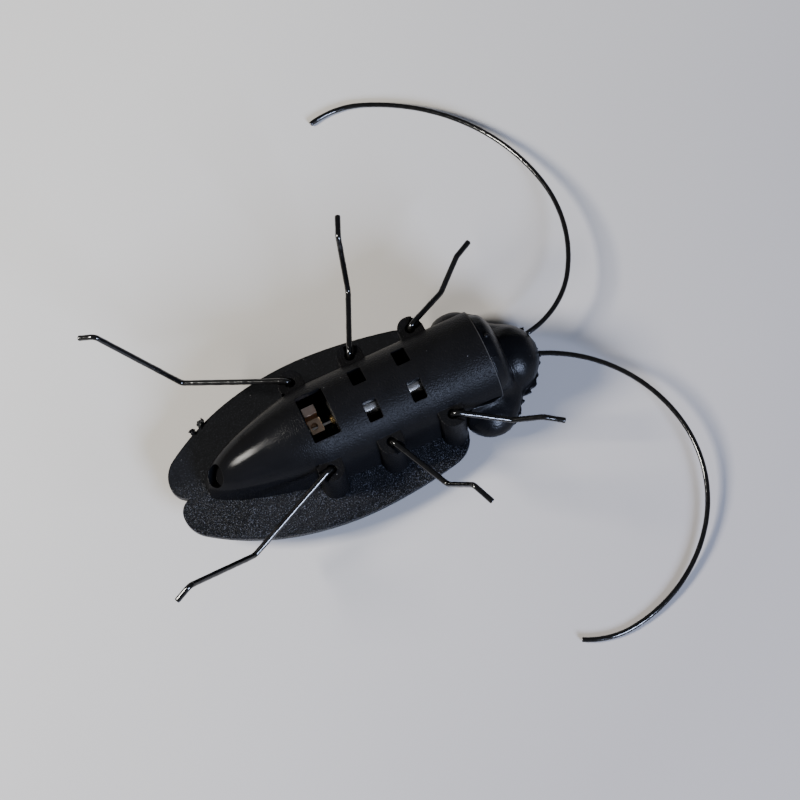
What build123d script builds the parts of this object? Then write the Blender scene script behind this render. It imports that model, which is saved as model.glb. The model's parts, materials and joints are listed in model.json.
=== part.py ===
from build123d import *
import os
from math import atan, cos, radians, sin, tan

# Solar vibration cockroach toy, lying on its back with its legs up. Millimetres.
# +Z is up, out of the belly. +X points to the head, and the toy is symmetric about y = 0.
# The origin is the centre of the solar panel's flat outer face, which the toy lies on.
# Left and right are the toy's own: its left side is -Y in this pose.

os.makedirs("parts", exist_ok=True)

# ---- driving dimensions ----
PANEL_LENGTH = 31.0
PANEL_WIDTH = 18.6
COVER_T = 0.5
CELL_T = 0.2
BOARD_T = 1.0
PANEL_RIM = 1.1            # plastic border around the panel cover
RIM_GAP = 0.15             # the border stands this far above the resting face
CELL_COUNT = 5
CELL_GAP = 0.4

DECK_Z = 4.2               # wing surface, belly side, under the middle legs
DECK_SLOPE = 0.05          # the wing surface rises towards the tail
WING_TAIL_X = -27.9
WING_NOSE_X = 18.5
WING_HALF = 14.1
DOME_ACROSS_R = 31.8       # crown of the back, across the wings
DOME_ALONG_R = 104.0       # crown of the back, along the wings
DOME_X = 3.0
DOME_Z = 0.2

HOUSING_HALF = 7.4
HOUSING_TOP = 17.4
HOUSING_RIM_X = 25.2
WALL = 1.1
TAIL_X = -4.0
SKIRT_CUT_X = 18.6         # in front of here the skirt is cut away over the thorax

MOTOR_Z = 10.9
MOTOR_R = 3.5
MOTOR_X = -0.5
MOTOR_LENGTH = 16.0
CAP_LENGTH = 1.4
SHAFT_R = 0.5
RUNNING_GAP = 0.03         # radial, shaft in bush
WEIGHT_X = -4.5
WEIGHT_LENGTH = 2.1
WEIGHT_R = 3.7

LEG_ROWS = {"rear": -4.2, "middle": 6.0, "front": 16.4}
LEG_Y = 7.9
BOSS_R = 2.05
BOSS_TOP = 13.2
BOSS_INNER_Y = 6.7
LEG_WIRE_R = 0.43
PIN_GAP = 0.05             # radial, wire in its hole
PIN_BOTTOM = 5.4
MOUTH_R = 0.8
MOUTH_DEPTH = 0.9
NOTCH_DEPTH = 0.6          # a notch in each boss lets its wire out sideways
NOTCH_HALF = 0.62
NOTCH_SPREAD = 13.0        # degrees each way, just over the wire's swivel

THORAX_X = 24.0
LOBE_X = 19.3              # rear end of the side lobes
LOBE_HALF = 10.8
HEAD_X = 27.9
HEAD_R = 6.0
SOCKET_X = 33.2
SOCKET_Y = 1.8
SOCKET_Z = 5.6
SOCKET_DEPTH = 5.0
ANTENNA_WIRE_R = 0.4
LEAD_R = 0.3

BELLY = Plane(origin=(LEG_ROWS["middle"], 0, DECK_Z), z_dir=(DECK_SLOPE, 0, 1))

# A leg's bends as (reach from its boss, heading off +X towards its own side, height).
LEG_BENDS = {
    "front_left": [(9.2, 27.3, 11.0), (14.0, 26.8, 12.4), (17.4, 27.5, 11.5)],
    "front_right": [(8.3, 30.3, 11.0), (14.3, 34.5, 12.4), (17.7, 34.0, 11.5)],
    "middle_left": [(11.1, 63.2, 12.5), (16.5, 63.0, 22.1), (20.3, 63.7, 21.6)],
    "middle_right": [(11.1, 67.1, 12.5), (16.5, 69.4, 22.1), (20.2, 69.1, 21.6)],
    "rear_left": [(17.5, 158.6, 9.7), (29.5, 157.9, 23.9), (32.3, 158.2, 22.6)],
    "rear_right": [(17.5, 150.0, 9.7), (29.5, 147.0, 23.9), (32.2, 147.1, 22.6)],
}
LEG_APEX = {"front": 14.1, "middle": 13.8, "rear": 13.9}
LEG_BEND_R = 0.9

# An antenna is a chain of tangent arcs (radius, angle) in one plane that slopes down to its tip.
ANTENNAS = {
    "left": (20.4, 46.0, [(25.4, 59), (21.9, 49), (24.8, 45), (14.0, 35)]),
    "right": (7.6, 51.7, [(15.0, 50), (24.8, 41), (35.0, 57), (13.5, 40)]),
}


def side_of(name):
    """-1 for the toy's left, which is -Y here, and +1 for its right."""
    return -1 if name.endswith("left") else 1


def wing_outline():
    """Both wings: a long oval with a square nose and a notch between two round tail tips."""
    with BuildSketch() as outline:
        with BuildLine():
            tip = TangentArc((WING_TAIL_X, 2.8), (-25.8, 6.8), tangent=(0, 1))
            flank = TangentArc(tip @ 1, (-12.0, 12.9), tangent=tip % 1)
            waist = TangentArc(flank @ 1, (1.5, WING_HALF), tangent=flank % 1)
            side = TangentArc(waist @ 1, (14.5, 12.4), tangent=waist % 1)
            corner = ThreePointArc(side @ 1, (17.2, 10.9), (WING_NOSE_X, 8.2))
            Line(corner @ 1, (WING_NOSE_X, 0))
            ThreePointArc(tip @ 0, (WING_TAIL_X + 0.7, 0.9), (WING_TAIL_X + 2.2, 0))
            mirror(about=Plane.XZ)
        make_face()
    return outline.sketch


def thorax_outline(size=1.0):
    """The thorax from below, scaled about its middle: a shield with a round lobe on each side."""
    with BuildSketch() as outline:
        with BuildLine():
            lobe = ThreePointArc((LOBE_X, 8.0), (LOBE_X + 0.9, 9.8), (LOBE_X + 3.0, LOBE_HALF))
            flank = TangentArc(lobe @ 1, (28.8, 6.4), tangent=lobe % 1)
            Line(flank @ 1, (28.8, 0))
            Line(lobe @ 0, (LOBE_X, 0))
            mirror(about=Plane.XZ)
        make_face()
    centred = Pos(-THORAX_X, 0, 0) * outline.sketch
    return Pos(THORAX_X, 0, 0) * centred.scale(size)


def arch(half_width, top, base=3.0):
    """Cross-section of the belly housing: straight skirts and a round arch."""
    spring = top - half_width
    with BuildSketch() as section:
        with BuildLine():
            Line((-half_width, base), (half_width, base))
            Line((half_width, base), (half_width, spring))
            CenterArc((0, spring), half_width, 0, 180)
            Line((-half_width, spring), (-half_width, base))
        make_face()
    return section.sketch


def wire_along(path, radius):
    """A round wire swept along a line."""
    with BuildPart() as wire:
        with BuildSketch(Plane(origin=path @ 0, z_dir=path % 0)):
            Circle(radius)
        sweep(path=path)
    return wire.part


# ---- solar panel: clear cover, cells and board, stacked up from the resting face ----
with BuildPart() as panel_cover:
    with BuildSketch():
        RectangleRounded(PANEL_LENGTH, PANEL_WIDTH, 0.6)
    extrude(amount=COVER_T)
    chamfer(panel_cover.edges().group_by(Axis.Z)[0], 0.12)
panel_cover.part.label = "panel_cover"
export_step(panel_cover.part, "parts/panel_cover.step")

CELL_LENGTH = (PANEL_LENGTH - 1.6 - (CELL_COUNT - 1) * CELL_GAP) / CELL_COUNT
with BuildPart() as solar_cells:
    with BuildSketch(Plane.XY.offset(COVER_T)):
        with GridLocations(CELL_LENGTH + CELL_GAP, 1, CELL_COUNT, 1):
            Rectangle(CELL_LENGTH, PANEL_WIDTH - 1.8)
    extrude(amount=CELL_T)
solar_cells.part.label = "solar_cells"
export_step(solar_cells.part, "parts/solar_cells.step")

BOARD_Z = COVER_T + CELL_T
BOARD_TOP = BOARD_Z + BOARD_T
with BuildPart() as solar_board:
    with BuildSketch(Plane.XY.offset(BOARD_Z)):
        RectangleRounded(PANEL_LENGTH - 0.4, PANEL_WIDTH - 0.4, 0.5)
    extrude(amount=BOARD_T)
solar_board.part.label = "solar_board"
export_step(solar_board.part, "parts/solar_board.step")

# ---- wing deck: thin domed moulding that holds the panel and carries the motor ----
CAVITY_HALF = HOUSING_HALF - WALL
RIB_XS = (2.4, 9.6)
DOME_TUBE_X = DOME_ALONG_R - DOME_ACROSS_R
dome = Pos(DOME_X, 0, DOME_Z + DOME_ALONG_R) * Rot(90, 0, 0) * Torus(DOME_TUBE_X, DOME_ACROSS_R)
with BuildPart() as wing_deck:
    with BuildSketch():
        add(wing_outline())
    extrude(amount=8)
    add(dome, mode=Mode.INTERSECT)
    with BuildSketch(Plane.XY.offset(RIM_GAP)):
        RectangleRounded(PANEL_LENGTH + 2 * PANEL_RIM, PANEL_WIDTH + 2 * PANEL_RIM, 1.4)
    extrude(amount=2)
    split(bisect_by=BELLY, keep=Keep.BOTTOM)
    # pocket for the panel
    with BuildSketch():
        RectangleRounded(PANEL_LENGTH + 0.1, PANEL_WIDTH + 0.1, 0.65)
    extrude(amount=BOARD_TOP, mode=Mode.SUBTRACT)
    # relief behind the board, and the opening under the motor
    with BuildSketch(Plane.XY.offset(BOARD_TOP)):
        Rectangle(PANEL_LENGTH - 3, PANEL_WIDTH - 3)
    extrude(amount=1.0, mode=Mode.SUBTRACT)
    with BuildSketch(Plane.XY.offset(BOARD_TOP)):
        with Locations((6.0, 0)):
            RectangleRounded(19.0, 12.2, 1.0)
    extrude(amount=4.0, mode=Mode.SUBTRACT)
    # cross beams with saddles under the motor
    for rib_x in RIB_XS:
        with BuildSketch(Plane.YZ.offset(rib_x - 0.6)):
            with Locations((0, (3.0 + MOTOR_Z) / 2)):
                Rectangle(2 * CAVITY_HALF - 0.3, MOTOR_Z - 3.0)
            with Locations((0, MOTOR_Z)):
                Circle(MOTOR_R + 0.02, mode=Mode.SUBTRACT)
        extrude(amount=1.2)
wing_deck.part.label = "wing_deck"
export_step(wing_deck.part, "parts/wing_deck.step")

# ---- belly housing: tube with a pointed tail, six leg bosses, windows and a tail hole ----
TAIL_SECTIONS = [
    (TAIL_X, HOUSING_HALF, HOUSING_TOP),
    (-9.0, 6.3, 16.6),
    (-14.0, 5.1, 14.9),
    (-19.0, 3.5, 12.2),
    (-21.4, 2.3, 9.9),
    (-22.7, 1.3, 7.7),
]
WINDOW_XS = (5.25, 12.75)
WINDOW_Y = 3.05
with BuildPart() as belly_housing:
    with BuildSketch(Plane.YZ.offset(TAIL_X)):
        add(arch(HOUSING_HALF, HOUSING_TOP))
    extrude(amount=HOUSING_RIM_X - TAIL_X)
    for x, half_width, top in TAIL_SECTIONS:
        with BuildSketch(Plane.YZ.offset(x)):
            add(arch(half_width, top))
    loft()
    # leg bosses, joined to the skirts by a short web
    with BuildSketch(Plane.XY.offset(3.0)):
        for row_x in LEG_ROWS.values():
            with Locations((row_x, LEG_Y), (row_x, -LEG_Y)):
                Circle(BOSS_R)
            web = LEG_Y - BOSS_INNER_Y
            with Locations((row_x, LEG_Y - web / 2), (row_x, -LEG_Y + web / 2)):
                Rectangle(2 * BOSS_R, web)
    extrude(amount=BOSS_TOP - 3.0)
    # windows over the motor and over the weight
    for window_x in WINDOW_XS:
        for window_y in (WINDOW_Y, -WINDOW_Y):
            with BuildSketch(Plane.XY.offset(MOTOR_Z)):
                with Locations((window_x, window_y)):
                    RectangleRounded(2.3, 3.0, 0.25)
            extrude(amount=10, mode=Mode.SUBTRACT)
    with BuildSketch(Plane.XY.offset(MOTOR_Z)):
        with Locations((-2.75, 0)):
            RectangleRounded(4.5, 8.0, 0.3)
    extrude(amount=10, mode=Mode.SUBTRACT)
    # tail hole, square to the sloping end
    with BuildSketch(Plane(origin=(-24.1, 0, 13.1), z_dir=(-0.75, 0, 0.66))):
        Circle(1.85)
    extrude(amount=-6, mode=Mode.SUBTRACT)
    # hollow
    with BuildSketch(Plane.YZ.offset(TAIL_X)):
        add(arch(CAVITY_HALF, HOUSING_TOP - WALL))
    extrude(amount=HOUSING_RIM_X - TAIL_X, mode=Mode.SUBTRACT)
    for x, half_width, top in TAIL_SECTIONS[:-2]:
        with BuildSketch(Plane.YZ.offset(x)):
            add(arch(half_width - WALL + 0.2, top - WALL))
    loft(mode=Mode.SUBTRACT)
    split(bisect_by=BELLY, keep=Keep.TOP)
    # skirts cut away over the thorax
    with BuildSketch(Plane.XZ):
        with BuildLine():
            cut = ThreePointArc((SKIRT_CUT_X, 9.4), (22.0, 10.4), (HOUSING_RIM_X + 1, 9.2))
            Polyline(cut @ 1, (HOUSING_RIM_X + 1, 0), (SKIRT_CUT_X, 0), cut @ 0)
        make_face()
    extrude(amount=12, both=True, mode=Mode.SUBTRACT)
    # holes for the leg wires, with a wider mouth
    for row_x in LEG_ROWS.values():
        with Locations((row_x, LEG_Y, BOSS_TOP), (row_x, -LEG_Y, BOSS_TOP)):
            CounterBoreHole(LEG_WIRE_R + PIN_GAP, MOUTH_R, MOUTH_DEPTH, BOSS_TOP - PIN_BOTTOM)
    for name, bends in LEG_BENDS.items():
        side = side_of(name)
        root = (LEG_ROWS[name.split("_")[0]], side * LEG_Y, BOSS_TOP)
        heading = radians(side * bends[0][1])
        far_half = NOTCH_HALF + 3 * tan(radians(NOTCH_SPREAD))
        with BuildSketch(Plane(origin=root, x_dir=(cos(heading), sin(heading), 0), z_dir=(0, 0, 1))):
            with BuildLine():
                Polyline((0, -NOTCH_HALF), (3, -far_half), (3, far_half), (0, NOTCH_HALF), close=True)
            make_face()
        extrude(amount=-NOTCH_DEPTH, mode=Mode.SUBTRACT)
belly_housing.part.label = "belly_housing"
export_step(belly_housing.part, "parts/belly_housing.step")

# ---- antenna lines, needed by the head's sockets ----
def antenna_line(name):
    """An antenna's line: a straight pin in the head and then its arcs."""
    heading, reach, arcs = ANTENNAS[name]
    side = side_of(name)
    slope = atan((SOCKET_Z - ANTENNA_WIRE_R - 0.02) / reach)
    pin_x = -SOCKET_DEPTH * cos(radians(heading))
    pin_y = -SOCKET_DEPTH * side * sin(radians(heading))
    plane = Plane(
        origin=(SOCKET_X, side * SOCKET_Y, SOCKET_Z),
        x_dir=(1, 0, 0),
        z_dir=(0, side * sin(slope), cos(slope)),
    )
    with BuildLine(plane) as path:
        piece = Line((pin_x, pin_y), (0, 0))
        for radius, angle in arcs:
            piece = JernArc(piece @ 1, piece % 1, radius, side * angle)
    return path.line


ANTENNA_LINES = {name: antenna_line(name) for name in ANTENNAS}

# ---- thorax and head: one smooth moulding in front of the wings ----
THORAX_SIZES = ((1.2, 0.72), (3.4, 0.96), (5.6, 1.0), (7.6, 0.8))
THORAX_LAYERS = [(height, thorax_outline(size)) for height, size in THORAX_SIZES]
COLLAR_SECTIONS = [
    (HOUSING_RIM_X, arch(HOUSING_HALF - 0.5, HOUSING_TOP - 0.5, 5.0)),
    (HOUSING_RIM_X + 1.4, arch(HOUSING_HALF - 0.7, HOUSING_TOP - 1.4, 5.0)),
    (HOUSING_RIM_X + 3.4, arch(HOUSING_HALF - 1.9, HOUSING_TOP - 4.8, 5.0)),
]
with BuildPart() as thorax_shell:
    for height, outline in THORAX_LAYERS:
        with BuildSketch(Plane.XY.offset(height)):
            add(outline)
    loft()
    # room for the wing deck behind it and for the housing's front edge above it
    split(bisect_by=Plane(origin=(WING_NOSE_X + 0.3, 0, 0), z_dir=(1, 0, 0)), keep=Keep.TOP)
    # collar in front of the housing's rim, with a spigot inside it
    for x, section in COLLAR_SECTIONS:
        with BuildSketch(Plane.YZ.offset(x)):
            add(section)
    loft()
    with BuildSketch(Plane.YZ.offset(HOUSING_RIM_X - 2.4)):
        add(arch(CAVITY_HALF - 0.1, HOUSING_TOP - WALL - 0.1, 6.0))
    extrude(amount=2.6)
    # head dome, round from above
    with BuildSketch(Plane(origin=(HEAD_X, 0, 0), x_dir=(1, 0, 0), z_dir=(0, -1, 0))):
        with BuildLine():
            crown = Spline((0, 11.6), (3.4, 10.2), (HEAD_R, 5.4), tangents=((1, 0), (0, -1)))
            chin = Spline(crown @ 1, (3.9, 2.2), (0, 1.1), tangents=((0, -1), (-1, 0)))
            Line(chin @ 1, crown @ 0)
        make_face()
    revolve(axis=Axis((HEAD_X, 0, 0), (0, 0, 1)))
    # hollow behind the head
    with BuildSketch(Plane.YZ.offset(18.0)):
        with Locations((0, 9.2)):
            RectangleRounded(9.0, 9.6, 2.0)
    extrude(amount=8.0, mode=Mode.SUBTRACT)
    # antenna sockets
    for line in ANTENNA_LINES.values():
        with BuildSketch(Plane(origin=line @ 0, z_dir=line % 0)):
            Circle(ANTENNA_WIRE_R + PIN_GAP)
        extrude(amount=SOCKET_DEPTH + 2, mode=Mode.SUBTRACT)
thorax_shell.part.label = "thorax_shell"
export_step(thorax_shell.part, "parts/thorax_shell.step")

# ---- motor: coreless, its axis along X, with the shaft out at the tail end ----
MOTOR_AXIS_FRONT = MOTOR_X + MOTOR_LENGTH
CAN_WALL = 0.3
BUSH_R = 1.2
BUSH_OUT = 0.5
MAGNET_R = 1.9
COIL_R = 2.75
COIL_T = 0.3
CAP_X = MOTOR_AXIS_FRONT - 0.4


def motor_disc(x):
    """Plane across the motor's axis at x."""
    return Plane(origin=(x, 0, MOTOR_Z), x_dir=(0, 1, 0), z_dir=(1, 0, 0))


with BuildPart() as motor_can:
    with BuildSketch(motor_disc(MOTOR_X)):
        Circle(MOTOR_R)
    extrude(amount=MOTOR_LENGTH)
    fillet(motor_can.edges().group_by(Axis.X)[0], 0.5)
    with BuildSketch(motor_disc(MOTOR_X + 0.5)):
        Circle(MOTOR_R - CAN_WALL)
    extrude(amount=MOTOR_LENGTH, mode=Mode.SUBTRACT)
    with BuildSketch(motor_disc(MOTOR_X - 1)):
        Circle(BUSH_R)
    extrude(amount=3, mode=Mode.SUBTRACT)
motor_can.part.label = "motor_can"
export_step(motor_can.part, "parts/motor_can.step")

with BuildPart() as motor_bush:
    with BuildSketch(motor_disc(MOTOR_X - BUSH_OUT)):
        Circle(BUSH_R)
        Circle(SHAFT_R + RUNNING_GAP, mode=Mode.SUBTRACT)
    extrude(amount=2.4)
motor_bush.part.label = "motor_bush"
export_step(motor_bush.part, "parts/motor_bush.step")

MAGNET_X = MOTOR_X - BUSH_OUT + 2.4
MAGNET_LENGTH = 9.0
with BuildPart() as motor_magnet:
    with BuildSketch(motor_disc(MAGNET_X)):
        Circle(MAGNET_R)
        Circle(SHAFT_R + 0.15, mode=Mode.SUBTRACT)
    extrude(amount=MAGNET_LENGTH)
motor_magnet.part.label = "motor_magnet"
export_step(motor_magnet.part, "parts/motor_magnet.step")

COMMUTATOR_X = MAGNET_X + MAGNET_LENGTH + 0.9
COMMUTATOR_R = 0.9
with BuildPart() as rotor_winding:
    with BuildSketch(motor_disc(MAGNET_X + 0.4)):
        Circle(COIL_R)
        Circle(COIL_R - COIL_T, mode=Mode.SUBTRACT)
    extrude(amount=MAGNET_LENGTH)
    with BuildSketch(motor_disc(MAGNET_X + MAGNET_LENGTH + 0.4)):
        Circle(COIL_R)
        Circle(SHAFT_R, mode=Mode.SUBTRACT)
    extrude(amount=0.5)
rotor_winding.part.label = "rotor_winding"
export_step(rotor_winding.part, "parts/rotor_winding.step")

with BuildPart() as commutator:
    with BuildSketch(motor_disc(COMMUTATOR_X)):
        Circle(COMMUTATOR_R)
        Circle(SHAFT_R, mode=Mode.SUBTRACT)
        with PolarLocations(COMMUTATOR_R, 3):
            Rectangle(0.3, 0.12, mode=Mode.SUBTRACT)
    extrude(amount=1.6)
commutator.part.label = "commutator"
export_step(commutator.part, "parts/commutator.step")

SHAFT_END_X = WEIGHT_X - 0.3
with BuildPart() as motor_shaft:
    with BuildSketch(motor_disc(SHAFT_END_X)):
        Circle(SHAFT_R)
    extrude(amount=CAP_X + 0.3 - SHAFT_END_X)
    chamfer(motor_shaft.edges().group_by(Axis.X)[0], 0.12)
motor_shaft.part.label = "motor_shaft"
export_step(motor_shaft.part, "parts/motor_shaft.step")

with BuildPart() as motor_end_cap:
    with BuildSketch(motor_disc(CAP_X)):
        Circle(MOTOR_R - CAN_WALL)
    extrude(amount=0.4)
    with BuildSketch(motor_disc(MOTOR_AXIS_FRONT)):
        Circle(MOTOR_R - 0.1)
    extrude(amount=CAP_LENGTH - 0.4)
    with BuildSketch(motor_disc(CAP_X)):
        Circle(SHAFT_R + RUNNING_GAP)
    extrude(amount=0.5, mode=Mode.SUBTRACT)
motor_end_cap.part.label = "motor_end_cap"
export_step(motor_end_cap.part, "parts/motor_end_cap.step")

BRUSH_GAP = 0.02
with BuildPart() as motor_brushes:
    for side in (1, -1):
        with BuildSketch(Plane.XY.offset(MOTOR_Z - 0.3)):
            with Locations(((COMMUTATOR_X + 0.4 + CAP_X) / 2, side * (COMMUTATOR_R + BRUSH_GAP + 0.1))):
                Rectangle(CAP_X - COMMUTATOR_X - 0.4, 0.2)
        extrude(amount=0.6)
motor_brushes.part.label = "motor_brushes"
export_step(motor_brushes.part, "parts/motor_brushes.step")

TERMINAL_X = MOTOR_AXIS_FRONT + CAP_LENGTH - 0.4
TERMINAL_Y = 1.8
TERMINAL_LENGTH = 1.2
with BuildPart() as motor_terminals:
    with BuildSketch(motor_disc(TERMINAL_X)):
        with Locations((TERMINAL_Y, 0), (-TERMINAL_Y, 0)):
            Rectangle(1.2, 0.25)
    extrude(amount=TERMINAL_LENGTH)
motor_terminals.part.label = "motor_terminals"
export_step(motor_terminals.part, "parts/motor_terminals.step")

# ---- eccentric weight: a hub crimped to the shaft, and a heavy lobe beyond a groove ----
HUB_HALF = 1.2
HUB_FOOT = 2.7             # the hub reaches this far below the shaft's axis, to the bridge
WEIGHT_TOP = 1.3           # flat top of the lobe, above the shaft's axis
GROOVE_END = 2.0
GROOVE_DEPTH = 3.2
CRIMP_R = 0.6
with BuildPart() as eccentric_weight:
    with BuildSketch(motor_disc(WEIGHT_X)):
        Circle(WEIGHT_R)
        with Locations((-WEIGHT_R + HUB_HALF, 0)):
            Rectangle(2 * WEIGHT_R, 3 * WEIGHT_R, mode=Mode.SUBTRACT)
        with Locations((0, (HUB_HALF - HUB_FOOT) / 2)):
            Rectangle(2 * HUB_HALF, HUB_HALF + HUB_FOOT)
        with Locations((0, WEIGHT_TOP + WEIGHT_R)):
            Rectangle(3 * WEIGHT_R, 2 * WEIGHT_R, mode=Mode.SUBTRACT)
        with Locations(((HUB_HALF + GROOVE_END) / 2, WEIGHT_TOP - GROOVE_DEPTH + WEIGHT_R)):
            Rectangle(GROOVE_END - HUB_HALF, 2 * WEIGHT_R, mode=Mode.SUBTRACT)
        Circle(SHAFT_R, mode=Mode.SUBTRACT)
    extrude(amount=WEIGHT_LENGTH)
    # crimp hole down to the shaft
    with BuildSketch(Plane.XY.offset(MOTOR_Z + HUB_HALF)):
        with Locations((WEIGHT_X + 0.8, 0)):
            Circle(CRIMP_R)
    extrude(amount=-(HUB_HALF - SHAFT_R + 0.15), mode=Mode.SUBTRACT)
eccentric_weight.part.label = "eccentric_weight"
export_step(eccentric_weight.part, "parts/eccentric_weight.step")

# ---- leads from the board to the motor terminals, and their solder ----
BOARD_PAD = (14.4, 4.6)
LEAD_BEND_R = 0.9


def lead(side):
    """A short insulated lead from a board pad up to a motor terminal."""
    pad_x, pad_y = BOARD_PAD
    tip_x = TERMINAL_X + TERMINAL_LENGTH / 2
    points = [
        (pad_x, side * pad_y, BOARD_TOP + 0.35),
        (pad_x, side * pad_y, BOARD_TOP + 2.4),
        (tip_x + 1.3, side * (pad_y - 0.4), MOTOR_Z - 3.5),
        (tip_x + 0.3, side * TERMINAL_Y, MOTOR_Z - 0.5),
    ]
    with BuildLine() as path:
        FilletPolyline(*points, radius=LEAD_BEND_R)
    return wire_along(path.line, LEAD_R)


for name, side in (("lead_red", 1), ("lead_black", -1)):
    lead_part = lead(side)
    lead_part.label = name
    export_step(lead_part, f"parts/{name}.step")

with BuildPart() as solder_joints:
    for side in (1, -1):
        with Locations((BOARD_PAD[0], side * BOARD_PAD[1], BOARD_TOP)):
            Cone(0.75, 0.4, 0.35, align=(Align.CENTER, Align.CENTER, Align.MIN))
solder_joints.part.label = "solder_joints"
export_step(solder_joints.part, "parts/solder_joints.step")

# ---- legs: formed wires that stand in the bosses ----
for name, bends in LEG_BENDS.items():
    row = name.split("_")[0]
    side = side_of(name)
    root = Vector(LEG_ROWS[row], side * LEG_Y)
    points = [root + Vector(0, 0, PIN_BOTTOM + 0.1), root + Vector(0, 0, LEG_APEX[row])]
    for reach, heading, height in bends:
        angle = radians(side * heading)
        points.append(root + Vector(reach * cos(angle), reach * sin(angle), height))
    with BuildLine() as leg_line:
        FilletPolyline(*points, radius=LEG_BEND_R)
    leg = wire_along(leg_line.line, LEG_WIRE_R)
    leg.label = f"leg_{name}"
    export_step(leg, f"parts/leg_{name}.step")

# ---- antennas: long curved wires from the head down to the resting surface ----
for name, line in ANTENNA_LINES.items():
    antenna = wire_along(line, ANTENNA_WIRE_R)
    antenna.label = f"antenna_{name}"
    export_step(antenna, f"parts/antenna_{name}.step")
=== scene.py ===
import json
import math

import bmesh
import bpy
import numpy as np
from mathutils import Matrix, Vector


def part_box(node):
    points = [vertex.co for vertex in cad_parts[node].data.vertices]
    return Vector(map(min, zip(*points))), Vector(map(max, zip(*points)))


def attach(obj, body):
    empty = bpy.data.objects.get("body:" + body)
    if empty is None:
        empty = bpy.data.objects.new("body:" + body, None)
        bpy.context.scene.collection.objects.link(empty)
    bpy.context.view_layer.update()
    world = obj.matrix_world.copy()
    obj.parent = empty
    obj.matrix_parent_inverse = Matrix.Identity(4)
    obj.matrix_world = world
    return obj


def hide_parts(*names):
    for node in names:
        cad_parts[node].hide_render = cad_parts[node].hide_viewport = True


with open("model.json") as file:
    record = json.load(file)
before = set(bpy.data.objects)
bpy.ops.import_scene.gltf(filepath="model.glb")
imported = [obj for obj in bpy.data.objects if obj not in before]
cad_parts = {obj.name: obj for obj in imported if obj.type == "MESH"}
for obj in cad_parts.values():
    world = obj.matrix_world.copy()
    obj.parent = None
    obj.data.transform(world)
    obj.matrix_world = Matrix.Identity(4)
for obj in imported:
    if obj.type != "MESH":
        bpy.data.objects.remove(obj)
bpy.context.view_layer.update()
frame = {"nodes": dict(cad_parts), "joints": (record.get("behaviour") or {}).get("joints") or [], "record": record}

import openvdb
from mathutils import Matrix, Vector, noise

# A solar vibration cockroach toy on its back. Metres, in the CAD model's frame.
# +X points to the head, +Z out of the belly; the toy lies on its solar panel at z = 0.

MM = 0.001
NODES = frame["nodes"]
JOINTS = {j["name"]: j for j in frame["joints"]}
SLOT_OF = {s["node"]: s["material_slot"] for s in frame["record"]["subparts"]}
SCENE = bpy.context.scene
HOUSING_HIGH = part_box("belly_housing")[1]
RIM_X = HOUSING_HIGH.x / MM        # front rim of the belly housing, in mm
RIM_TOP = HOUSING_HIGH.z / MM


# ---------------------------------------------------------------- camera
CAMERA_AZIMUTH = -13.25        # degrees, and so are the next two
CAMERA_ELEVATION = 70.04
CAMERA_ROLL = -12.0
CAMERA_DISTANCE = 500 * MM
CAMERA_LENS = 142.4            # focal length in mm, on a sensor 36 mm wide
SENSOR_WIDTH = 36
AIM_RIGHT = 4.0 * MM           # the view's middle, to the right of the middle legs and above them
AIM_UP = 2.82 * MM
DECK_Z = 4.2 * MM


def make_camera():
    """A long lens, looking down on the belly from the toy's left and rolled with the photo."""
    angles = (CAMERA_AZIMUTH, CAMERA_ELEVATION, CAMERA_ROLL)
    azimuth, elevation, roll = (math.radians(angle) for angle in angles)
    back = Vector((
        math.sin(azimuth) * math.cos(elevation),
        -math.cos(azimuth) * math.cos(elevation),
        math.sin(elevation),
    ))
    level = Vector((math.cos(azimuth), math.sin(azimuth), 0))
    above = back.cross(level)
    right = math.cos(roll) * level + math.sin(roll) * above
    up = -math.sin(roll) * level + math.cos(roll) * above
    middle = Vector((JOINTS["middle_left_swivel"]["pos_m"][0], 0, DECK_Z))
    place = middle + back * CAMERA_DISTANCE
    aim = middle + right * AIM_RIGHT + up * AIM_UP
    forward = (aim - place).normalized()
    right = forward.cross(up).normalized()
    up = right.cross(forward)
    data = bpy.data.cameras.new("camera")
    data.lens = CAMERA_LENS
    data.sensor_width = SENSOR_WIDTH
    data.clip_start = 0.01
    data.clip_end = 10
    camera = bpy.data.objects.new("camera", data)
    camera.matrix_world = Matrix((
        (right.x, up.x, -forward.x, place.x),
        (right.y, up.y, -forward.y, place.y),
        (right.z, up.z, -forward.z, place.z),
        (0, 0, 0, 1),
    ))
    SCENE.collection.objects.link(camera)
    SCENE.camera = camera


make_camera()


# ---------------------------------------------------------------- light
def area_light(name, towards, distance, size, watts, colour):
    """A square soft box that shines on the toy from the direction `towards`."""
    data = bpy.data.lights.new(name, "AREA")
    data.shape = "SQUARE"
    data.size = size
    data.energy = watts
    data.color = colour
    light = bpy.data.objects.new(name, data)
    direction = Vector(towards).normalized()
    light.location = direction * distance
    light.rotation_mode = "QUATERNION"
    light.rotation_quaternion = direction.to_track_quat("Z", "Y")
    SCENE.collection.objects.link(light)


area_light("warm_window", towards=(-0.745, 0.20, 0.637), distance=0.65, size=0.17, watts=13.5,
           colour=(1.0, 0.965, 0.90))
area_light("cool_window", towards=(0.18, -0.855, 0.49), distance=0.85, size=0.26, watts=22.5,
           colour=(0.60, 0.71, 1.0))

ROOM_COLOUR = (0.86, 0.9, 1.0)
ROOM_STRENGTH = 0.12

world = bpy.data.worlds.new("studio")
SCENE.world = world
world.use_nodes = True
background = world.node_tree.nodes["Background"]
background.inputs["Color"].default_value = (*ROOM_COLOUR, 1)
background.inputs["Strength"].default_value = ROOM_STRENGTH


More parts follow.
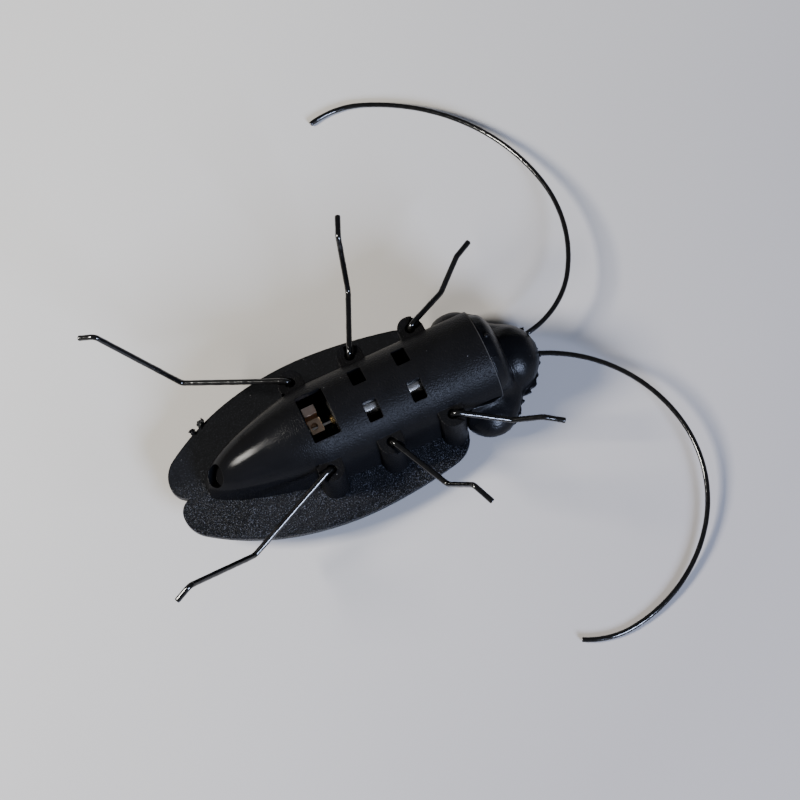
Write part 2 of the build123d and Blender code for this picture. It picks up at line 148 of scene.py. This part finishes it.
# ---------------------------------------------------------------- material helpers
class Look:
    """One procedural material: a principled shader and the small node chains that feed it.

    The colour and roughness given first are the plain ones that the patterns replace."""

    def __init__(self, name, colour, roughness, metallic=0.0, **sockets):
        self.material = bpy.data.materials.new(name)
        self.material.use_nodes = True
        self.tree = self.material.node_tree
        self.shader = self.tree.nodes["Principled BSDF"]
        self.shader.inputs["Base Color"].default_value = (*colour, 1)
        self.shader.inputs["Roughness"].default_value = roughness
        self.shader.inputs["Metallic"].default_value = metallic
        for socket, value in sockets.items():
            self.shader.inputs[socket.replace("_", " ")].default_value = value
        self.place = self.node("ShaderNodeTexCoord").outputs["Object"]
        self.normal = None

    def node(self, kind, **settings):
        made = self.tree.nodes.new(kind)
        for key, value in settings.items():
            setattr(made, key, value)
        return made

    def link(self, source, target):
        self.tree.links.new(source, target)

    def stretched(self, x, y, z):
        """Object coordinates scaled by x, y and z."""
        mapping = self.node("ShaderNodeMapping")
        mapping.inputs["Scale"].default_value = (x, y, z)
        self.link(self.place, mapping.inputs["Vector"])
        return mapping.outputs["Vector"]

    def noise(self, size_mm, detail=3.0, roughness=0.55, distortion=0.0, vector=None):
        """Noise whose features are about size_mm across, mostly between 0.3 and 0.7."""
        made = self.node("ShaderNodeTexNoise")
        made.inputs["Scale"].default_value = 1 / (size_mm * MM)
        made.inputs["Detail"].default_value = detail
        made.inputs["Roughness"].default_value = roughness
        made.inputs["Distortion"].default_value = distortion
        self.link(vector or self.place, made.inputs["Vector"])
        return made.outputs["Fac"]

    def cells(self, size_mm, feature="F1"):
        """Voronoi cells about size_mm across."""
        made = self.node("ShaderNodeTexVoronoi", feature=feature)
        made.inputs["Scale"].default_value = 1 / (size_mm * MM)
        self.link(self.place, made.inputs["Vector"])
        return made.outputs["Distance"]

    def axis(self, letter):
        """The object coordinate along X, Y or Z."""
        split = self.node("ShaderNodeSeparateXYZ")
        self.link(self.place, split.inputs["Vector"])
        return split.outputs[letter]

    def facing(self, letter):
        """How far the surface faces along the object's X, Y or Z, from -1 to 1."""
        split = self.node("ShaderNodeSeparateXYZ")
        self.link(self.node("ShaderNodeTexCoord").outputs["Normal"], split.inputs["Vector"])
        return split.outputs[letter]

    def ramp(self, source, low, high, from_value=0.0, to_value=1.0):
        """source between low and high, spread over from_value to to_value and clamped."""
        made = self.node("ShaderNodeMapRange", clamp=True)
        made.inputs["From Min"].default_value = low
        made.inputs["From Max"].default_value = high
        made.inputs["To Min"].default_value = from_value
        made.inputs["To Max"].default_value = to_value
        self.link(source, made.inputs["Value"])
        return made.outputs["Result"]

    def maths(self, operation, *values):
        """An arithmetic node on one or two numbers or sockets."""
        made = self.node("ShaderNodeMath", operation=operation)
        for socket, value in zip(made.inputs, values):
            if isinstance(value, (int, float)):
                socket.default_value = value
            else:
                self.link(value, socket)
        return made.outputs["Value"]

    def mix(self, factor, a, b):
        """Colour a where factor is 0 and b where it is 1. Each is an RGB triple or a socket."""
        made = self.node("ShaderNodeMix", data_type="RGBA")
        self.link(factor, made.inputs["Factor"])
        colour_inputs = {s.name: s for s in made.inputs if s.type == "RGBA"}
        for name, value in (("A", a), ("B", b)):
            if isinstance(value, tuple):
                colour_inputs[name].default_value = (*value, 1)
            else:
                self.link(value, colour_inputs[name])
        return next(o for o in made.outputs if o.type == "RGBA")

    def mix_value(self, factor, a, b):
        """a where factor is 0 and b where it is 1, as numbers."""
        return self.ramp(factor, 0.0, 1.0, a, b)

    def rounded_edges(self, radius_mm):
        """Edges look rounded by radius_mm."""
        made = self.node("ShaderNodeBevel", samples=6)
        made.inputs["Radius"].default_value = radius_mm * MM
        self.normal = made.outputs["Normal"]

    def bump(self, height, depth_mm, strength=1.0):
        """Adds relief depth_mm deep to the surface."""
        made = self.node("ShaderNodeBump")
        made.inputs["Strength"].default_value = strength
        made.inputs["Distance"].default_value = depth_mm * MM
        self.link(height, made.inputs["Height"])
        if self.normal is not None:
            self.link(self.normal, made.inputs["Normal"])
        self.normal = made.outputs["Normal"]

    def done(self, colour=None, roughness=None, metallic=None):
        """Connects the patterns and the relief, and gives the finished material."""
        patterns = (("Base Color", colour), ("Roughness", roughness), ("Metallic", metallic))
        for name, value in patterns:
            if value is not None:
                self.link(value, self.shader.inputs[name])
        if self.normal is not None:
            self.link(self.normal, self.shader.inputs["Normal"])
        return self.material


# ---------------------------------------------------------------- materials
def floor_look():
    """Pale matt paper with a painted fall-off of light: a little darker and cooler towards the toy's left front.
    """
    look = Look("floor_paper", (0.62, 0.62, 0.62), 0.8, Specular_IOR_Level=0.2)
    # painted shade: the paper's colour darkens along this slant, standing in for the lamps' light falling off
    # across the floor
    falloff_slant = look.maths("SUBTRACT", look.axis("Y"), look.maths("MULTIPLY", look.axis("X"), 0.7))
    falloff_wobble = look.ramp(look.noise(90, 2.0), 0.3, 0.7, -8 * MM, 8 * MM)
    painted_light_falloff = look.ramp(look.maths("ADD", falloff_slant, falloff_wobble), -75 * MM, 75 * MM)
    colour = look.mix(painted_light_falloff, (0.246, 0.234, 0.234), (0.358, 0.347, 0.325))
    look.bump(look.noise(0.6, 4.0), 0.01, 0.3)
    return look.done(colour=colour)


def wing_look():
    """Black plastic with a spark-eroded grain and painted bluish glints on its peaks, nearly smooth and duller on
    the right, where the painted glints are fainter.
    """
    look = Look("wing_plastic", (0.006, 0.006, 0.006), 0.35, Specular_IOR_Level=0.10)
    belly_side = look.ramp(look.facing("Z"), -0.2, 0.3)
    right = look.maths("MULTIPLY", look.ramp(look.axis("Y"), -1 * MM, 4 * MM), belly_side)
    coarse = look.noise(0.19, 2.0, 0.6)
    pebbles = look.ramp(coarse, 0.44, 0.70)
    # painted glints: the grain's highest peaks get a pale bluish colour that stands in for sparkles of light
    painted_glints = look.ramp(coarse, 0.59, 0.68)
    fine = look.noise(0.13, 2.0)
    specks = look.ramp(look.cells(2.1), 0.035, 0.06, 1.0, 0.0)
    look.rounded_edges(0.12)
    look.bump(look.maths("MULTIPLY", pebbles, look.mix_value(right, 1.0, 0.08)), 0.065)
    look.bump(fine, 0.012)
    look.bump(specks, 0.05)
    # the grain's tone, lighter and bluer on its peaks: partly the plastic's own mottling, partly a painted bluish
    # sheen
    grain = look.mix(look.ramp(coarse, 0.3, 0.7), (0.0025, 0.0026, 0.003), (0.005, 0.0054, 0.0064))
    # painted glints, much fainter on the right wing
    painted_glint_mask = look.maths("MULTIPLY", painted_glints, look.mix_value(right, 1.0, 0.12))
    colour = look.mix(specks, look.mix(painted_glint_mask, grain, (0.060, 0.064, 0.078)), (0.05, 0.05, 0.05))
    duller = look.mix_value(right, 0.0, 0.16)
    rough = look.maths("ADD", look.ramp(fine, 0.35, 0.65, 0.24, 0.36), duller)
    return look.done(colour=colour, roughness=rough)


def belly_look():
    """Black plastic, finely grained towards the head, polished on the tail, with a painted highlight along the
    rim's edge.
    """
    look = Look("belly_plastic", (0.003, 0.003, 0.0035), 0.35, Specular_IOR_Level=0.046)
    forward = look.ramp(look.axis("X"), -13 * MM, -4 * MM)
    grain = look.noise(0.20, 2.0, 0.6)
    pebbles = look.ramp(look.cells(0.32), 0.2, 0.6)
    flow = look.noise(6.0, 3.0, 0.6, 1.5)
    specks = look.ramp(look.cells(2.6), 0.022, 0.035, 1.0, 0.0)
    look.rounded_edges(0.16)
    look.bump(look.maths("MULTIPLY", grain, look.mix_value(forward, 0.30, 1.0)), 0.05)
    look.bump(look.maths("MULTIPLY", pebbles, look.mix_value(forward, 0.08, 1.0)), 0.024)
    look.bump(flow, 0.10, 0.25)
    look.bump(specks, 0.05)
    base = look.mix(flow, (0.0025, 0.0025, 0.0027), (0.004, 0.004, 0.0045))
    # painted highlight: a thin pale band at the rim's front edge, standing in for the edge catching light
    painted_rim_highlight = look.ramp(look.axis("X"), (RIM_X - 0.17) * MM, (RIM_X - 0.09) * MM)
    colour = look.mix(specks, look.mix(painted_rim_highlight, base, (0.027, 0.026, 0.025)), (0.08, 0.08, 0.08))
    unevenness = look.ramp(flow, 0.3, 0.7, -0.03, 0.04)
    rough = look.maths("ADD", look.mix_value(forward, 0.12, 0.35), unevenness)
    return look.done(colour=colour, roughness=rough)


def thorax_look():
    """Smooth satin black plastic with faint flow marks, fine grain and a few specks."""
    look = Look("thorax_plastic", (0.003, 0.003, 0.0035), 0.4, Specular_IOR_Level=0.085)
    flow = look.noise(3.5, 4.0, 0.6, 2.0)
    grain = look.noise(0.30, 2.0)
    specks = look.ramp(look.cells(1.7), 0.03, 0.05, 1.0, 0.0)
    look.bump(grain, 0.05)
    look.bump(flow, 0.12, 0.3)
    look.bump(specks, 0.05)
    base = look.mix(flow, (0.0025, 0.0025, 0.0027), (0.004, 0.004, 0.0045))
    colour = look.mix(specks, base, (0.07, 0.07, 0.07))
    rough = look.ramp(flow, 0.3, 0.7, 0.27, 0.35)
    return look.done(colour=colour, roughness=rough)


def wire_look(name, chip_size):
    """Glossy black lacquer on steel wire, with runs and small chips of bare metal."""
    look = Look(name, (0.003, 0.003, 0.003), 0.2, Specular_IOR_Level=0.45)
    chips = look.ramp(look.noise(chip_size, 4.0, 0.7), 0.715, 0.74)
    runs = look.noise(0.9, 2.0, 0.5, 0.6)
    look.bump(runs, 0.03, 0.7)
    look.bump(chips, 0.02, 0.8)
    lacquer = look.mix(runs, (0.0015, 0.0015, 0.0015), (0.003, 0.0028, 0.0025))
    colour = look.mix(chips, lacquer, (0.30, 0.27, 0.25))
    rough = look.ramp(runs, 0.3, 0.7, 0.10, 0.20)
    return look.done(colour=colour, roughness=rough, metallic=chips)


def metal_look(name, light, dark, rough_low, rough_high, grain_mm, stretch=(1, 1, 1), depth=0.006):
    """Bare metal with fine marks, drawn out by stretch."""
    look = Look(name, light, rough_low, metallic=1.0)
    marks = look.noise(grain_mm, 4.0, 0.6, vector=look.stretched(*stretch))
    blotch = look.noise(2.2, 3.0, 0.6, 1.0)
    look.rounded_edges(0.06)
    look.bump(marks, depth)
    colour = look.mix(look.ramp(blotch, 0.3, 0.7), light, dark)
    return look.done(colour=colour, roughness=look.ramp(marks, 0.3, 0.7, rough_low, rough_high))


def plastic_look(name, light, dark, rough, grain_mm=0.4, depth=0.01):
    """Plain moulded plastic with faint mottling."""
    look = Look(name, light, rough)
    mottle = look.noise(grain_mm * 5, 3.0, 0.6, 0.8)
    look.rounded_edges(0.06)
    look.bump(look.noise(grain_mm, 3.0), depth)
    colour = look.mix(look.ramp(mottle, 0.3, 0.7), light, dark)
    unevenness = look.ramp(mottle, 0.3, 0.7, rough - 0.05, rough + 0.08)
    return look.done(colour=colour, roughness=unevenness)


def silicon_look():
    """Dark blue cells with a crystal pattern and fine silver fingers."""
    look = Look("silicon", (0.02, 0.025, 0.07), 0.25)
    period = look.maths("FRACT", look.maths("DIVIDE", look.axis("Y"), 1.1 * MM))
    off_finger = look.maths("ABSOLUTE", look.maths("SUBTRACT", period, 0.5))
    finger = look.ramp(off_finger, 0.05, 0.08, 1.0, 0.0)
    crystal = look.ramp(look.cells(2.4), 0.1, 0.8)
    base = look.mix(crystal, (0.012, 0.015, 0.05), (0.03, 0.04, 0.12))
    colour = look.mix(finger, base, (0.55, 0.56, 0.58))
    return look.done(colour=colour, roughness=look.mix_value(finger, 0.22, 0.4), metallic=finger)


def board_look():
    """Green solder mask with faint copper traces under it and a glass weave."""
    look = Look("green_board", (0.02, 0.12, 0.05), 0.35)
    weave = look.node("ShaderNodeTexChecker")
    weave.inputs["Scale"].default_value = 1 / (0.35 * MM)
    look.link(look.place, weave.inputs["Vector"])
    traces = look.ramp(look.cells(3.2, "DISTANCE_TO_EDGE"), 0.10, 0.13, 1.0, 0.0)
    base = look.mix(traces, (0.012, 0.085, 0.035), (0.03, 0.17, 0.07))
    look.bump(weave.outputs["Fac"], 0.008)
    look.bump(traces, 0.02)
    return look.done(colour=base, roughness=look.ramp(look.noise(1.5), 0.3, 0.7, 0.28, 0.42))


def resin_look():
    """Clear poured cover, a little smoky, with a soft skin and fine scratches."""
    look = Look("clear_resin", (0.75, 0.78, 0.82), 0.08, Transmission_Weight=0.92, IOR=1.5)
    scratches = look.noise(0.25, 5.0, 0.7, vector=look.stretched(0.12, 1, 1))
    look.bump(look.noise(5.0, 2.0), 0.05, 0.4)
    return look.done(roughness=look.ramp(scratches, 0.55, 0.75, 0.05, 0.25))


LOOKS = {
    "clear_resin": resin_look(),
    "silicon": silicon_look(),
    "green_board": board_look(),
    "black_wing": wing_look(),
    "black_belly": belly_look(),
    "black_thorax": thorax_look(),
    "cap_plastic": plastic_look("cap_plastic", (0.80, 0.78, 0.72), (0.66, 0.63, 0.56), 0.5),
    "red_sleeve": plastic_look("red_sleeve", (0.55, 0.02, 0.015), (0.38, 0.012, 0.01), 0.35),
    "black_sleeve": plastic_look("black_sleeve", (0.012, 0.012, 0.012), (0.02, 0.02, 0.02), 0.35),
    "leg_wire": wire_look("leg_wire", 0.55),
    "antenna_wire": wire_look("antenna_wire", 0.32),
}
# slot: light and dark colour, lowest and highest roughness, grain in mm, stretch, depth in mm
METALS = {
    "motor_steel": ((0.70, 0.69, 0.67), (0.50, 0.48, 0.45), 0.14, 0.30, 0.16, (0.15, 1, 1)),
    "brass": ((0.80, 0.56, 0.24), (0.55, 0.36, 0.15), 0.18, 0.34, 0.1),
    "magnet": ((0.30, 0.30, 0.31), (0.20, 0.20, 0.21), 0.4, 0.6, 0.15),
    "copper_wire": ((0.72, 0.30, 0.13), (0.42, 0.16, 0.07), 0.2, 0.4, 0.12, (1, 4, 4), 0.02),
    "shaft_steel": ((0.72, 0.70, 0.66), (0.55, 0.52, 0.48), 0.12, 0.28, 0.1, (1, 0.2, 0.2)),
    "tin": ((0.72, 0.72, 0.70), (0.5, 0.5, 0.5), 0.18, 0.36, 0.25),
    "tungsten": ((0.88, 0.67, 0.49), (0.72, 0.52, 0.38), 0.36, 0.58, 0.12, (1, 1, 1), 0.012),
}
for metal, numbers in METALS.items():
    LOOKS[metal] = metal_look(metal, *numbers)

for node_name, cad_object in NODES.items():
    cad_object.data.materials.clear()
    cad_object.data.materials.append(LOOKS[SLOT_OF[node_name]])


# ---------------------------------------------------------------- shapes worked out as distance fields
# Fields are in millimetres, negative inside. Points come as three arrays.

def ball(p, centre, radii):
    """An ellipsoid."""
    q = [(c - m) / r for c, m, r in zip(p, centre, radii)]
    near = np.sqrt(sum(c * c for c in q))
    slope = np.sqrt(sum((c / r) ** 2 for c, r in zip(q, radii)))
    return near * (near - 1) / np.maximum(slope, 1e-6)


def rod(p, start, end, radius):
    """A round bar with round ends."""
    a, b = np.array(start, float), np.array(end, float)
    along = sum((c - s) * d for c, s, d in zip(p, a, b - a)) / np.dot(b - a, b - a)
    t = np.clip(along, 0, 1)
    return np.sqrt(sum((c - s - t * d) ** 2 for c, s, d in zip(p, a, b - a))) - radius


def arch_bar(p, half, top):
    """A long bar along X with straight sides and a round top, half wide and top high."""
    spring = top - half
    over = np.maximum(p[2] - spring, 0)
    return np.sqrt(p[1] ** 2 + over ** 2) - half


def join(a, b, blend):
    """Both shapes, with a fillet where they meet."""
    h = np.clip(0.5 + 0.5 * (b - a) / blend, 0, 1)
    return b * (1 - h) + a * h - blend * h * (1 - h)


def cut(a, b, blend=0.2):
    """Shape a without shape b, its new edges slightly rounded."""
    return -join(-a, b, blend)


def ripple(p, size, seed):
    """Smooth waves between about -1 and 1, roughly size mm long, the same for the same seed."""
    rng = np.random.default_rng(seed)
    total = np.zeros(np.broadcast(*p).shape)
    waves = 7
    for _ in range(waves):
        heading = rng.normal(size=3)
        heading *= 2 * math.pi / (size * rng.uniform(0.7, 1.6) * np.linalg.norm(heading))
        total += np.sin(sum(c * h for c, h in zip(p, heading)) + rng.uniform(0, 2 * math.pi))
    return total / math.sqrt(waves)


def add_piece(name, points, faces, look_name, body):
    """A smooth-shaded mesh of points in metres that rides on a body and takes a slot's finish."""
    mesh = bpy.data.meshes.new(name)
    mesh.from_pydata(points, [], faces)
    mesh.validate()
    mesh.materials.append(LOOKS[look_name])
    mesh.shade_smooth()
    piece = bpy.data.objects.new(name, mesh)
    SCENE.collection.objects.link(piece)
    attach(piece, body)
    return piece


FAR_OUTSIDE = 5.0


def cast(name, low, high, step, field, look_name, body):
    """The surface of a distance field, meshed on a grid of step mm between two corners in mm."""
    axes = [np.arange(a, b + step, step) for a, b in zip(low, high)]
    p = np.meshgrid(*axes, indexing="ij", sparse=True)
    values = np.broadcast_to(field(p), [len(a) for a in axes]).astype(np.float32)
    grid = openvdb.FloatGrid(background=FAR_OUTSIDE)
    grid.copyFromArray(np.ascontiguousarray(values))
    points, quads = grid.convertToQuads(0.0)
    points = (points * step + np.array(low)) * MM
    faces = [tuple(int(i) for i in quad)[::-1] for quad in quads]
    return add_piece(name, points.tolist(), faces, look_name, body)


# ---------------------------------------------------------------- thorax and head
# All in mm. Ellipsoids are a middle and three half sizes.
LEFT_LOBE = (22.9, -6.5, 4.4), (4.5, 4.8, 3.4)
RIGHT_LOBE = (23.0, 6.2, 4.4), (4.6, 4.6, 3.4)
SHIELD = (25.4, 0, 4.6), (5.0, 9.0, 3.8)
SKULL = (28.2, -0.3, 4.9), (5.7, 5.9, 4.3)
BROW = (29.5, -0.9, 6.7), (4.1, 4.8, 3.9)
CROWN = (24.6, 0, 4.6), (7.4, 8.0, 3.9)
CROWN_TOP = 3.2            # the crown is only the underside
COLLAR_HALF, COLLAR_TOP = 6.8, 16.8    # at the rim
COLLAR_BACK = 20.0
COLLAR_LENGTH = 3.0
COLLAR_ROUNDED = 1.8       # the last part of that length, rounded off
COLLAR_BOTTOM = 4.5
SKIN_WAVE = 0.035
FLASH_Z = 3.7
FLASH_HALF = 0.15          # half its thickness
FLASH_WIDTH = 0.30
FLASH_START_X = 23.0
TORN_X, TORN_Y = 31.0, -5.6
TORN_WIDTH = 0.55          # the widest piece of flash
RIM_HALF = 7.4
RIM_GAP = 0.06             # room round the housing's front end
RIM_BOTTOM = 8.3
NOSE_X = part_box("wing_deck")[1].x / MM
NOSE_GAP = 0.05
SOCKET_RADIUS = 0.47
SOCKET_BACK, SOCKET_FRONT = 5.6, 1.2
SOCKET_Z = 5.6
SOCKETS = (((33.2, -1.8, SOCKET_Z), -20.4), ((33.2, 1.8, SOCKET_Z), 7.6))   # mouth, heading in degrees
GRID_LOW, GRID_HIGH, GRID_STEP = (18.2, -11.6, 0.2), (34.6, 11.6, 17.4), 0.15


def collar_field(p):
    """A bar in front of the housing's rim that narrows forwards, its front edge rounded."""
    x, y, z = p
    past = np.clip((x - RIM_X - (COLLAR_LENGTH - COLLAR_ROUNDED)) / COLLAR_ROUNDED, 0, 1)
    fall = np.sqrt(1 - past ** 2)
    taper = np.clip(x - RIM_X, 0, COLLAR_LENGTH)
    half = COLLAR_HALF - 1.4 * (1 - fall) - 0.32 * taper
    top = COLLAR_TOP - 5.6 * (1 - fall) - 0.4 * taper
    bar = arch_bar(p, half, top)
    ends = np.maximum(COLLAR_BACK - x, x - RIM_X - COLLAR_LENGTH)
    return np.maximum(np.maximum(bar, ends), COLLAR_BOTTOM - z)


def add_flash(p, skin):
    """The skin with ragged flash along its parting line, widest at the head's left front."""
    x, y, z = p
    front = np.clip((x - FLASH_START_X) / 4, 0, 1)
    left = np.clip((2.0 - y) / 6, 0.15, 1)
    torn = np.exp(-((x - TORN_X) ** 2 + (y - TORN_Y) ** 2) / 1.6)
    ragged = np.clip(FLASH_WIDTH + 0.22 * ripple((x, y, 0 * z), 1.1, 8), 0.0, 0.7)
    reach = front * left * ragged + TORN_WIDTH * torn
    off_line = np.abs(z - FLASH_Z - 0.3 * np.sin(x * 0.9))
    fin = np.maximum(off_line - FLASH_HALF - 0.25 * torn, skin - reach)
    return join(skin, fin, 0.12)


def thorax_field(p):
    """Two round lobes, a collar in front of the housing's rim, a neck groove and a domed head."""
    x, y, z = p
    lobes = join(ball(p, *LEFT_LOBE), ball(p, *RIGHT_LOBE), 0.5)
    shield = join(lobes, ball(p, *SHIELD), 1.2)
    chest = join(shield, collar_field(p), 1.8)
    head = join(ball(p, *SKULL), ball(p, *BROW), 1.2)
    crown = cut(ball(p, *CROWN), CROWN_TOP - z, 1.0)
    skin = join(join(chest, head, 0.9), crown, 1.5)
    skin = skin + SKIN_WAVE * ripple(p, 2.6, 3)
    skin = add_flash(p, skin)
    housing = arch_bar(p, RIM_HALF + RIM_GAP, RIM_TOP + RIM_GAP)
    housing = np.maximum(housing, np.maximum(x - RIM_X - 0.05, RIM_BOTTOM - z))
    skin = cut(skin, housing, 0.1)
    skin = cut(skin, x - NOSE_X - NOSE_GAP, 0.3)
    for mouth, heading in SOCKETS:
        pin = Vector((math.cos(math.radians(heading)), math.sin(math.radians(heading)), 0))
        back, front = Vector(mouth) - SOCKET_BACK * pin, Vector(mouth) + SOCKET_FRONT * pin
        skin = cut(skin, rod(p, back, front, SOCKET_RADIUS), 0.1)
    return skin


thorax = cast("thorax_cast", GRID_LOW, GRID_HIGH, GRID_STEP, thorax_field, "black_thorax", "shell")
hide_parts("thorax_shell")


# ---------------------------------------------------------------- torn gates, pips and flash spikes
def scraps(name, look_name, lumps):
    """Small lumps. Each is a place and three half sizes in mm, how ragged it is, and a seed."""
    points, faces = [], []
    for place, sizes, ragged, seed in lumps:
        bm = bmesh.new()
        bmesh.ops.create_icosphere(bm, subdivisions=3, radius=1)
        offset = Vector((seed * 7.3, seed * 3.1, seed * 1.7))
        first = len(points)
        for vertex in bm.verts:
            swell = 1 + sum(ragged * noise.noise(vertex.co * scale + offset) for scale in (1.7, 4))
            points.append([(c + d * size * swell) * MM for c, d, size in zip(place, vertex.co, sizes)])
        faces += [[first + v.index for v in face.verts] for face in bm.faces]
        bm.free()
    return add_piece(name, points, faces, look_name, "shell")


WING_Z, WING_SLOPE, WING_LEVEL_X = 4.2, 0.05, 6.0


def deck_z(x):
    """Height of the wing surface at x, in mm. It slopes up to the tail."""
    return WING_Z - WING_SLOPE * (x - WING_LEVEL_X)


scraps("gate_nubs", "black_wing", [
    ((-19.3, 10.7, deck_z(-19) - 0.1), (0.55, 0.62, 0.42), 0.7, 1),
    ((-18.9, 11.1, deck_z(-19) + 0.1), (0.22, 0.40, 0.30), 0.8, 2),
    ((-21.0, 9.95, deck_z(-21) - 0.1), (0.42, 0.55, 0.36), 0.7, 3),
    ((-21.3, 10.2, deck_z(-21) + 0.1), (0.25, 0.22, 0.25), 0.8, 4),
    ((-14.5, -12.0, deck_z(-14) - 0.25), (0.5, 0.16, 0.2), 0.6, 5),
    ((-21.6, 4.3, deck_z(-21)), (0.30, 0.07, 0.08), 0.6, 6),
    ((-18.2, 5.2, deck_z(-18)), (0.10, 0.10, 0.08), 0.6, 7),
])
scraps("collar_pips", "black_thorax", [
    ((26.1, 0.4, 16.4), (0.50, 0.38, 0.34), 0.2, 11),
    ((26.0, -3.1, 15.8), (0.14, 0.14, 0.14), 0.3, 12),
    ((33.0, 2.5, 6.2), (0.34, 0.36, 0.44), 0.8, 13),
    ((33.7, -0.4, 6.2), (0.24, 0.20, 0.34), 0.8, 14),
    ((33.5, -1.3, 6.2), (0.34, 0.42, 0.36), 0.8, 15),
    ((33.6, -2.4, 5.9), (0.26, 0.34, 0.30), 0.8, 16),
])
scraps("belly_pips", "black_belly", [
    ((16.8, 1.9, 17.1), (0.16, 0.16, 0.16), 0.3, 21),
    ((10.0, 0.2, 17.35), (0.10, 0.10, 0.10), 0.3, 22),
    ((12.3, -1.2, 17.28), (0.08, 0.08, 0.08), 0.3, 23),
    ((-13.0, 1.4, 15.1), (0.10, 0.10, 0.08), 0.3, 24),
])


# ---------------------------------------------------------------- wires
WIRE_VOXEL = 0.13 * MM
LACQUER_WAVE = 1.6 * MM
LEG_LUMP, ANTENNA_LUMP = 0.06 * MM, 0.04 * MM


def lumpy_wire(node_name, lump):
    """Lacquered wire: modifiers make its CAD solid slightly uneven along its length."""
    wire = NODES[node_name]
    remesh = wire.modifiers.new("even_mesh", "REMESH")
    remesh.mode = "VOXEL"
    remesh.voxel_size = WIRE_VOXEL
    remesh.use_smooth_shade = True
    texture = bpy.data.textures.new(node_name + "_lacquer", "CLOUDS")
    texture.noise_scale = LACQUER_WAVE
    texture.noise_depth = 1
    lumps = wire.modifiers.new("lacquer", "DISPLACE")
    lumps.texture = texture
    lumps.texture_coords = "LOCAL"
    lumps.mid_level = 0.1
    lumps.strength = lump


for node_name in NODES:
    if node_name.startswith("leg_"):
        lumpy_wire(node_name, LEG_LUMP)
    if node_name.startswith("antenna_"):
        lumpy_wire(node_name, ANTENNA_LUMP)


# ---------------------------------------------------------------- floor and finish
FLOOR_HALF = 3.0


def make_floor():
    """A flat square under the toy, wide enough to fill every view."""
    mesh = bpy.data.meshes.new("floor")
    signs = ((-1, -1), (1, -1), (1, 1), (-1, 1))
    corners = [(a * FLOOR_HALF, b * FLOOR_HALF, 0) for a, b in signs]
    mesh.from_pydata(corners, [], [(0, 1, 2, 3)])
    mesh.materials.append(floor_look())
    floor = bpy.data.objects.new("floor", mesh)
    SCENE.collection.objects.link(floor)


make_floor()
